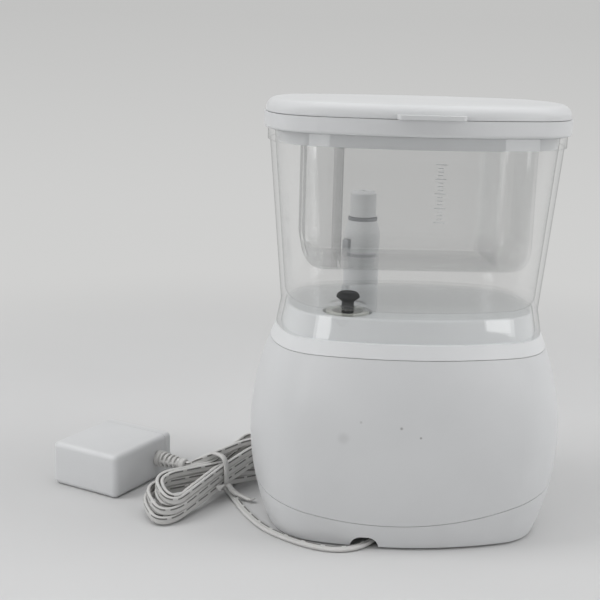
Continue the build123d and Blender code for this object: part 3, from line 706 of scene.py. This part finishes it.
def grow(name, tree, values):
    """Run a tree and keep its result as a plain mesh on a linked object."""
    piece = bpy.data.objects.new(name, bpy.data.meshes.new(name))
    link(piece)
    modifier = piece.modifiers.new("grow", "NODES")
    modifier.node_group = tree
    for item in tree.interface.items_tree:
        if item.in_out == "INPUT" and item.name in values:
            modifier[item.identifier] = values[item.name]
    grown = evaluated_mesh(piece)
    piece.modifiers.remove(modifier)
    piece.data = grown
    print(name, "faces", len(grown.polygons))
    return piece


# %% [markdown]
# ## Rings of the strain relief
# A moulded relief bends evenly because its barrel is cut into rings, which get smaller towards the tip. The
# tree sets them in a row and scales each by its number.

# %% Grow the rings
ring_tree, ring_in = new_tree("relief_rings", {
    "Count": "Int", "Spacing": "Float", "Ring Radius": "Float", "Ring Thickness": "Float", "Taper": "Float"})
step_up = add(ring_tree, "ShaderNodeCombineXYZ", links={"Z": ring_in["Spacing"]})
ring_row = add(ring_tree, "GeometryNodeMeshLine", links={
    "Count": ring_in["Count"], "Offset": step_up.outputs[0]})
circle = add(ring_tree, "GeometryNodeCurvePrimitiveCircle", None, {"Resolution": 28},
             {"Radius": ring_in["Ring Radius"]})
section = add(ring_tree, "GeometryNodeCurvePrimitiveCircle", None, {"Resolution": 8},
              {"Radius": ring_in["Ring Thickness"]})
ring = add(ring_tree, "GeometryNodeCurveToMesh", links={
    "Curve": circle.outputs[0], "Profile Curve": section.outputs[0]})
number = add(ring_tree, "GeometryNodeInputIndex")
shrink = add(ring_tree, "ShaderNodeMath", {"operation": "MULTIPLY"}, links={
    0: number.outputs[0], 1: ring_in["Taper"]})
left_over = add(ring_tree, "ShaderNodeMath", {"operation": "SUBTRACT"}, {0: 1.0}, {1: shrink.outputs[0]})
ring_size = add(ring_tree, "ShaderNodeCombineXYZ", None, {"Z": 1.0}, {
    "X": left_over.outputs[0], "Y": left_over.outputs[0]})
rings = add(ring_tree, "GeometryNodeInstanceOnPoints", links={
    "Points": ring_row.outputs[0], "Instance": ring.outputs[0], "Scale": ring_size.outputs[0]})
close_tree(ring_tree, rings.outputs[0], "white_lead")
relief_rings = grow("relief_rings", ring_tree, {
    "Count": 5,
    "Spacing": 2.9 * MM,
    "Ring Radius": 3.9 * MM,
    "Ring Thickness": 0.85 * MM,
    "Taper": 0.062,
})

# %% [markdown]
# ## Core of the strain relief
# A lathe makes the core with its two collars. A rib on either side joins the rings, as the mould leaves it.
# The whole is built upright and then turned to the adapter's side.


# %% Make the relief
def lathe(mesh, profile, steps):
    """A closed turned form about Z from (radius, height) pairs that start and end on the axis."""
    around = [2 * math.pi * k / steps for k in range(steps)]
    loops = []
    for radius, height in profile:
        if radius == 0:
            loops.append([mesh.verts.new((0, 0, height * MM))])
            continue
        reach = radius * MM
        circle = [(reach * math.cos(a), reach * math.sin(a), height * MM) for a in around]
        loops.append([mesh.verts.new(spot) for spot in circle])
    for low, high in zip(loops, loops[1:]):
        for k in range(steps):
            n = (k + 1) % steps
            if len(low) == 1:
                mesh.faces.new((low[0], high[n], high[k]))
            elif len(high) == 1:
                mesh.faces.new((low[k], low[n], high[0]))
            else:
                mesh.faces.new((low[k], low[n], high[n], high[k]))


def bar(mesh, corners_low, corners_high):
    """A closed bar between two rectangles of corner points."""
    low = [mesh.verts.new(corner) for corner in corners_low]
    high = [mesh.verts.new(corner) for corner in corners_high]
    mesh.faces.new(list(reversed(low)))
    mesh.faces.new(high)
    for k in range(4):
        n = (k + 1) % 4
        mesh.faces.new((low[k], low[n], high[n], high[k]))


def rib_corners(side, reach, height):
    """Corners of a side rib at one height, from inside the core to its reach."""
    outline = ((rib_root, -rib_half), (reach, -rib_half), (reach, rib_half), (rib_root, rib_half))
    return [Vector((side * x, y, height)) * MM for x, y in outline]


rib_root = 1.5
rib_half = 1.0
first_ring = 4.3
relief_mesh = bmesh.new()
lathe(relief_mesh, [
    (0, 0), (4.6, 0), (4.9, 0.4), (4.85, 2.6), (4.5, 3.1), (3.1, 3.2), (2.6, 16.6),
    (3.5, 16.8), (3.6, 17.4), (3.4, 19.4), (3.0, 20.0), (0, 20.0),
], 32)
for side in (-1, 1):
    bar(relief_mesh, rib_corners(side, reach=4.4, height=2.8), rib_corners(side, reach=3.3, height=17.2))
relief_rings.data.transform(Matrix.Translation((0, 0, first_ring * MM)))
relief_mesh.from_mesh(relief_rings.data)
bpy.data.objects.remove(relief_rings)
bmesh.ops.recalc_face_normals(relief_mesh, faces=relief_mesh.faces)
relief = finish_mesh("ribbed_strain_relief", relief_mesh)
relief_side = Vector((0, 0, 1)).cross(relief_way)
turned = Matrix((relief_side, Vector((0, 0, 1)), relief_way)).transposed().to_4x4()
relief.data.transform(Matrix.Translation(from_axis(*relief_root)) @ turned)
give(relief, finishes["white_lead"])
print("relief faces", len(relief.data.polygons))

# %% Ride with the base, and hide the frame's lead and relief
for piece in (lead, tie, relief):
    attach(piece, "base")
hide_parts("lead", "lead_hank", "lead_tail")
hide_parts("adapter_relief")
print("lead leaves at", tuple(round(value, 4) for value in lead_line[0]))

# %% [markdown]
# ## The volume scale
# A faint scale is printed on the tank's far wall: a column of ticks, longer at every fourth. The tree first
# sets a column of thin bars in the plane through the tank's axis. The wall is curved and leans out, so a ray
# from each point of each bar then finds the wall's inner face, and the point is moved there.

# %% Set the ticks in a column
scale_tree, scale_in = new_tree("volume_scale", {
    "Count": "Int", "Spacing": "Float", "Short Tick": "Float", "Long Tick": "Float", "Line Width": "Float",
    "Start": "Vector", "Wall": "Object"})
film = 0.12 * MM
long_every = 4.0
scale_step = add(scale_tree, "ShaderNodeCombineXYZ", links={"Z": scale_in["Spacing"]})
column = add(scale_tree, "GeometryNodeMeshLine", links={
    "Count": scale_in["Count"], "Offset": scale_step.outputs[0], "Start Location": scale_in["Start"]})
bar_size = add(scale_tree, "ShaderNodeCombineXYZ", None, {"X": 1.0, "Y": film}, {"Z": scale_in["Line Width"]})
tick = add(scale_tree, "GeometryNodeMeshCube", None, {"Vertices X": 7}, {"Size": bar_size.outputs[0]})
tick_number = add(scale_tree, "GeometryNodeInputIndex")
remainder = add(scale_tree, "ShaderNodeMath", {"operation": "MODULO"}, {1: long_every},
                {0: tick_number.outputs[0]})
is_long = add(scale_tree, "ShaderNodeMath", {"operation": "LESS_THAN"}, {1: 0.5}, {0: remainder.outputs[0]})
tick_length = add(scale_tree, "ShaderNodeMix", links={
    0: is_long.outputs[0], 2: scale_in["Short Tick"], 3: scale_in["Long Tick"]})
tick_scale = add(scale_tree, "ShaderNodeCombineXYZ", None, {"Y": 1.0, "Z": 1.0}, {
    "X": tick_length.outputs[0]})
ticks = add(scale_tree, "GeometryNodeInstanceOnPoints", links={
    "Points": column.outputs[0], "Instance": tick.outputs[0], "Scale": tick_scale.outputs[0]})
flat_ticks = add(scale_tree, "GeometryNodeRealizeInstances", links={"Geometry": ticks.outputs[0]})
print("nodes for the ticks", len(scale_tree.nodes))

# %% [markdown]
# ## Onto the wall
# Each ray starts in the axis's plane, at its point's own height and place along the bar, and runs to the
# front.

# %% Lay the ticks on the wall
ray_length = 0.2
wall = add(scale_tree, "GeometryNodeObjectInfo", links={"Object": scale_in["Wall"]})
spot = add(scale_tree, "GeometryNodeInputPosition")
spot_parts = add(scale_tree, "ShaderNodeSeparateXYZ", links={0: spot.outputs[0]})
start_parts = add(scale_tree, "ShaderNodeSeparateXYZ", links={0: scale_in["Start"]})
source = add(scale_tree, "ShaderNodeCombineXYZ", links={
    "X": spot_parts.outputs["X"], "Y": start_parts.outputs["Y"], "Z": spot_parts.outputs["Z"]})
cast = add(scale_tree, "GeometryNodeRaycast", None, {"Ray Direction": (0, -1, 0), "Ray Length": ray_length}, {
    "Target Geometry": wall.outputs["Geometry"], "Source Position": source.outputs[0]})
shift = add(scale_tree, "ShaderNodeVectorMath", {"operation": "SUBTRACT"}, links={
    0: cast.outputs["Hit Position"], 1: source.outputs[0]})
laid = add(scale_tree, "GeometryNodeSetPosition", links={
    "Geometry": flat_ticks.outputs[0], "Offset": shift.outputs[0]})
close_tree(scale_tree, laid.outputs[0], "pale_print")
volume_scale = grow("volume_scale", scale_tree, {
    "Count": 17,
    "Spacing": 2.06 * MM,
    "Short Tick": 3.2 * MM,
    "Long Tick": 6.4 * MM,
    "Line Width": 0.45 * MM,
    "Start": from_axis(-21.5, 0, 157),
    "Wall": nodes["tank"],
})
give(volume_scale, finishes["pale_print"])
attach(volume_scale, "tank")

# %% [markdown]
# ## The dial's grip and ticks
# The pressure dial on the front has a ring of grip ribs round its rim, and its seat carries ten ticks over
# the three quarters of a turn that the dial makes. Ribs and ticks both stand round a circle, so one tree
# serves for both.

# %% A tree for bars round a circle
round_tree, round_in = new_tree("round_the_dial", {
    "Count": "Int", "Radius": "Float", "Start Angle": "Float", "Sweep Angle": "Float", "Bar": "Vector"})
arc = add(round_tree, "GeometryNodeCurveArc", {"mode": "RADIUS"}, links={
    "Resolution": round_in["Count"], "Radius": round_in["Radius"],
    "Start Angle": round_in["Start Angle"], "Sweep Angle": round_in["Sweep Angle"]})
arc_points = add(round_tree, "GeometryNodeCurveToPoints", {"mode": "EVALUATED"}, links={
    "Curve": arc.outputs[0]})
arc_spot = add(round_tree, "GeometryNodeInputPosition")
outward = add(round_tree, "FunctionNodeAlignRotationToVector", {"axis": "X", "pivot_axis": "Z"}, links={
    "Vector": arc_spot.outputs[0]})
block = add(round_tree, "GeometryNodeMeshCube", None, {"Vertices Z": 3}, {"Size": round_in["Bar"]})
blocks = add(round_tree, "GeometryNodeInstanceOnPoints", links={
    "Points": arc_points.outputs[0], "Instance": block.outputs[0], "Rotation": outward.outputs[0]})
close_tree(round_tree, blocks.outputs[0], "grey_plastic")
print("nodes for the circle", len(round_tree.nodes))

# %% [markdown]
# ## Round the dial
# The tree makes its circle on the floor, so the result is turned to face the front and moved to the dial. The
# dial's own box gives its middle and its radius.

# %% Make the ribs and the ticks
dial_low, dial_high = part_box("dial")
dial_radius = (dial_high.x - dial_low.x) / 2
seat_reach = 59.5
rib_reach = 5.2
seat_front = axis.y - seat_reach * MM
seat_middle = Vector(((dial_low.x + dial_high.x) / 2, seat_front, (dial_low.z + dial_high.z) / 2))
rib_middle = Vector((seat_middle.x, seat_front - rib_reach * MM, seat_middle.z))
to_front = Matrix.Rotation(math.pi / 2, 4, "X")
ribs = 40
dial_ribs = grow("dial_grip_ribs", round_tree, {
    "Count": ribs,
    "Radius": dial_radius - 0.1 * MM,
    "Start Angle": 0.0,
    "Sweep Angle": 2 * math.pi * (ribs - 1) / ribs,
    "Bar": Vector((1.2, 1.0, 7.0)) * MM,
})
dial_ribs.data.transform(Matrix.Translation(rib_middle) @ to_front)
give(dial_ribs, finishes["grey_plastic"])
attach(dial_ribs, "dial")
dial_ticks = grow("dial_ticks", round_tree, {
    "Count": 10,
    "Radius": dial_radius + 1.45 * MM,
    "Start Angle": math.radians(-45),
    "Sweep Angle": math.radians(270),
    "Bar": Vector((1.5, 0.6, 0.2)) * MM,
})
dial_ticks.data.transform(Matrix.Translation(seat_middle) @ to_front)
give(dial_ticks, finishes["grey_plastic"])
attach(dial_ticks, "base")

# %% [markdown]
# ## A screw head
# Four pan-head screws hold the bottom cover from below. One head is built from loops, from its seat down to
# the floor of its cross recess. The ring between the round top and the cross is filled with triangles.

# %% Build one head
head_radius = 3.0
head_top_radius = 2.4
head_side = 0.9
head_height = 1.5
recess_floor = 0.6
recess_taper = 0.8
arm = 1.7
slot_half = 0.45
rim_steps = 24
head_mesh = bmesh.new()
rim_angles = [2 * math.pi * k / rim_steps for k in range(rim_steps)]
rim = [(math.cos(a), math.sin(a)) for a in rim_angles]
cross = [
    (arm, -slot_half), (arm, slot_half), (slot_half, slot_half), (slot_half, arm),
    (-slot_half, arm), (-slot_half, slot_half), (-arm, slot_half), (-arm, -slot_half),
    (-slot_half, -slot_half), (-slot_half, -arm), (slot_half, -arm), (slot_half, -slot_half),
]


def head_loop(points, size, depth):
    """A loop of vertices with its edges, from an outline at a size, at one depth below the seat."""
    loop = [head_mesh.verts.new((size * x * MM, size * y * MM, -depth * MM)) for x, y in points]
    edges = [head_mesh.edges.new((loop[k], loop[(k + 1) % len(loop)])) for k in range(len(loop))]
    return loop, edges


def wall_between(low, high):
    """Faces between two loops of the same count."""
    for k in range(len(low)):
        n = (k + 1) % len(low)
        head_mesh.faces.new((low[k], low[n], high[n], high[k]))


seat_loop = head_loop(rim, head_radius, 0.0)[0]
side_loop = head_loop(rim, head_radius, head_side)[0]
top_loop, top_edges = head_loop(rim, head_top_radius, head_height)
mouth_loop, mouth_edges = head_loop(cross, 1.0, head_height)
pit_loop, pit_edges = head_loop(cross, recess_taper, recess_floor)
wall_between(seat_loop, side_loop)
wall_between(side_loop, top_loop)
wall_between(mouth_loop, pit_loop)
bmesh.ops.triangle_fill(head_mesh, edges=top_edges + mouth_edges, use_beauty=True)
bmesh.ops.triangle_fill(head_mesh, edges=pit_edges, use_beauty=True)
head_mesh.faces.new(seat_loop)
bmesh.ops.recalc_face_normals(head_mesh, faces=head_mesh.faces)
screw_head = finish_mesh("screw_head", head_mesh, smooth=False)
print("faces of a head", len(screw_head.data.polygons))

# %% [markdown]
# ## Screws under the base
# A tree sets a copy of the head at each corner of a rectangle, against the cover's underside.

# %% Set the screws
cover_underside = 8.0
screw_tree, screw_in = new_tree("cover_screws", {"Span X": "Float", "Span Y": "Float", "Head": "Object"})
corners = add(screw_tree, "GeometryNodeMeshGrid", None, {"Vertices X": 2, "Vertices Y": 2}, {
    "Size X": screw_in["Span X"], "Size Y": screw_in["Span Y"]})
head_info = add(screw_tree, "GeometryNodeObjectInfo", links={"Object": screw_in["Head"]})
heads = add(screw_tree, "GeometryNodeInstanceOnPoints", links={
    "Points": corners.outputs[0], "Instance": head_info.outputs["Geometry"]})
close_tree(screw_tree, heads.outputs[0], "steel")
screws = grow("cover_screws", screw_tree, {"Span X": 68 * MM, "Span Y": 60 * MM, "Head": screw_head})
bpy.data.objects.remove(screw_head)
screws.data.transform(Matrix.Translation(from_axis(0, 0, cover_underside)))
give(screws, finishes["steel"])
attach(screws, "base")

# %% [markdown]
# ## The sweep
# The photograph is high key: a seamless pale floor that runs up into its backdrop. The sweep is one sheet
# that curves up behind the object, so no line shows where the floor ends.

# %% Shape the sweep
sweep_half_width = 2.2
sweep_near = 2.0
sweep_top = 2.4
bend_start = -1.1
bend_radius = 0.6
bend_steps = 12
sweep_profile = [(sweep_near, 0.0), (bend_start, 0.0)]
for k in range(1, bend_steps + 1):
    angle = math.pi / 2 * k / bend_steps
    sweep_profile.append((bend_start - bend_radius * math.sin(angle), bend_radius * (1 - math.cos(angle))))
sweep_profile.append((bend_start - bend_radius, sweep_top))
sweep_points = [(side * sweep_half_width, y, z) for side in (-1, 1) for y, z in sweep_profile]
count = len(sweep_profile)
sweep_data = bpy.data.meshes.new("sweep")
sweep_data.from_pydata(sweep_points, [], [(k, count + k, count + k + 1, k + 1) for k in range(count - 1)])
sweep_data.shade_smooth()
sweep_sheet = bpy.data.objects.new("sweep", sweep_data)
link(sweep_sheet)
print("sweep faces", len(sweep_data.polygons))

# %% [markdown]
# ## Paper of the sweep
# Near the object the sweep is plain paper, so that it keeps the object's shadow. Further off it passes into
# a glow, which only rays that look at it see, so that the background is pale without more light on the
# object. The glow is painted a little darker towards the top, as painted shade on the backdrop. Towards the
# camera's side, mirrored rays see the paper dark, as the unlit half of a studio is, and this gives the glossy
# faces their shape. A ray that went through clear plastic counts as glossy as well as transmitted in this
# renderer, so the mirrored rays are the glossy ones less the transmitted ones.


# %% Finish of the sweep
def ray_kinds(tree):
    """Two sockets: 1 for rays that look at the studio, and 1 for rays that a surface mirrored."""
    ray = add(tree, "ShaderNodeLightPath")
    glossy = ray.outputs["Is Glossy Ray"]
    through = ray.outputs["Is Transmission Ray"]
    mirrored = add(tree, "ShaderNodeMath", {"operation": "SUBTRACT", "use_clamp": True}, links={
        0: glossy, 1: through})
    bent = add(tree, "ShaderNodeMath", {"operation": "MAXIMUM"}, links={0: glossy, 1: through})
    looking = add(tree, "ShaderNodeMath", {"operation": "MAXIMUM"}, links={
        0: ray.outputs["Is Camera Ray"], 1: bent.outputs[0]})
    return looking.outputs[0], mirrored.outputs[0]


shadow_reach = 0.26
glow_reach = 0.7
glow_top = 0.95
dark_from = 0.15
dark_full = 0.5
dark_top = 0.9
paper, paper_tree, paper_shader = new_finish("pale_paper_sweep", Roughness=0.85)
paper_place = tone(paper_tree, paper_shader, "cfcfcf", "cccccc", patch_mm=300.0)
paper_parts = add(paper_tree, "ShaderNodeSeparateXYZ", links={0: paper_place.outputs["Object"]})
paper_looking, paper_mirrored = ray_kinds(paper_tree)
# Painted shade: the glow is darker towards the top of the backdrop.
glow_shade_by_height = add(paper_tree, "ShaderNodeValToRGB", links={"Fac": paper_parts.outputs["Z"]})
glow_shade_by_height.color_ramp.elements[0].color = hex_colour("d1d1d0")
glow_shade_by_height.color_ramp.elements[1].color = hex_colour("c4c4c3")
glow_shade_by_height.color_ramp.elements[1].position = 0.3
glow = add(paper_tree, "ShaderNodeEmission", None, {"Strength": 1.0}, {"Color": glow_shade_by_height.outputs["Color"]})
reach = add(paper_tree, "ShaderNodeVectorMath", {"operation": "LENGTH"}, links={
    0: paper_place.outputs["Object"]})
far_off = add(paper_tree, "ShaderNodeMapRange", {"interpolation_type": "SMOOTHSTEP"}, {
    "From Min": shadow_reach, "From Max": glow_reach, "To Min": 0.0, "To Max": glow_top}, {
    "Value": reach.outputs["Value"]})
glow_share = add(paper_tree, "ShaderNodeMath", {"operation": "MULTIPLY"}, links={
    0: far_off.outputs["Result"], 1: paper_looking})
lit_paper = add(paper_tree, "ShaderNodeMixShader", links={
    "Fac": glow_share.outputs[0], 1: paper_shader.outputs["BSDF"], 2: glow.outputs[0]})
shade = add(paper_tree, "ShaderNodeEmission", None, {"Color": hex_colour("3c3c3c"), "Strength": 1.0})
before = add(paper_tree, "ShaderNodeMapRange", {"interpolation_type": "SMOOTHSTEP"}, {
    "From Min": dark_from, "From Max": dark_full, "To Min": 0.0, "To Max": dark_top}, {
    "Value": paper_parts.outputs["Y"]})
shade_share = add(paper_tree, "ShaderNodeMath", {"operation": "MULTIPLY"}, links={
    0: before.outputs["Result"], 1: paper_mirrored})
whole_paper = add(paper_tree, "ShaderNodeMixShader", links={
    "Fac": shade_share.outputs[0], 1: lit_paper.outputs[0], 2: shade.outputs[0]})
paper_tree.links.new(whole_paper.outputs[0], paper_tree.nodes["Material Output"].inputs["Surface"])
sweep_sheet.data.materials.append(paper)
print("nodes of the paper", len(paper_tree.nodes))

# %% [markdown]
# ## The lamps
# Two large soft boxes stand left and right and one hangs overhead, so the faces turned to the camera are a
# little darker than the sides. Two low boxes on the camera's side are the only ones that mirrors see: the
# tank's flared foot shows them as its two bright patches, left and right.

# %% Place the lamps
aim = from_axis(0, 0, 110)
# Name, place, width and height in metres, watts, and whether mirrors see it.
soft_boxes = [
    ("left_box", (1.0, 0.15, 0.95), (0.6, 0.9), 6.6, False),
    ("right_box", (-1.0, 0.15, 0.95), (0.6, 0.9), 6.6, False),
    ("front_left_box", (0.72, 0.86, 0.36), (0.48, 0.56), 1.8, True),
    ("front_right_box", (-0.8, 0.78, 0.36), (0.42, 0.56), 1.8, True),
    ("top_box", (0.0, -0.1, 1.5), (1.6, 1.4), 7.4, False),
]
for name, place, size, watts, seen_in_mirrors in soft_boxes:
    light = bpy.data.lights.new(name, "AREA")
    light.shape = "RECTANGLE"
    light.size, light.size_y = size
    light.energy = watts
    lamp = bpy.data.objects.new(name, light)
    lamp.location = place
    lamp.rotation_euler = (aim - Vector(place)).to_track_quat("-Z", "Y").to_euler()
    lamp.visible_transmission = seen_in_mirrors
    lamp.visible_glossy = seen_in_mirrors
    link(lamp)
print("lamps", len(soft_boxes))

# %% [markdown]
# ## The room
# The world is a pale room. What lights the object is soft and weak, and falls off towards the camera's side.
# Rays that look at the room, and clear plastic, see it as bright as the sweep, so that the tank looks pale,
# as it does inside a light tent. Mirrored rays see it grow darker towards the camera's side.

# %% Make the room
fill_strength = 0.46
fall_from = -0.2
fall_to = 0.7
fall_share = 0.55
world = bpy.data.worlds.new("studio")
bpy.context.scene.world = world
world.use_nodes = True
room = world.node_tree
room_looking, room_mirrored = ray_kinds(room)
way = add(room, "ShaderNodeTexCoord")
way_parts = add(room, "ShaderNodeSeparateXYZ", links={0: way.outputs["Generated"]})
falling = add(room, "ShaderNodeMapRange", None, {
    "From Min": fall_from, "From Max": fall_to, "To Min": 0.0, "To Max": fall_share}, {
    "Value": way_parts.outputs["Y"]})
fill_level = add(room, "ShaderNodeMath", {"operation": "MULTIPLY_ADD"},
                 {1: -fill_strength, 2: fill_strength}, {0: falling.outputs[0]})
fill = room.nodes["Background"]
fill.inputs["Color"].default_value = hex_colour("f2f3f4")
room.links.new(fill_level.outputs[0], fill.inputs["Strength"])
mirror_loss = add(room, "ShaderNodeMath", {"operation": "MULTIPLY"}, links={
    0: falling.outputs[0], 1: room_mirrored})
seen_level = add(room, "ShaderNodeMath", {"operation": "SUBTRACT"}, {0: 1.0}, {1: mirror_loss.outputs[0]})
seen = add(room, "ShaderNodeBackground", None, {"Color": hex_colour("cfcfce")}, {
    "Strength": seen_level.outputs[0]})
either = add(room, "ShaderNodeMixShader", links={
    "Fac": room_looking, 1: fill.outputs[0], 2: seen.outputs[0]})
room.links.new(either.outputs[0], room.nodes["World Output"].inputs["Surface"])
bpy.context.scene.view_settings.view_transform = "Standard"
print("nodes of the room", len(room.nodes))
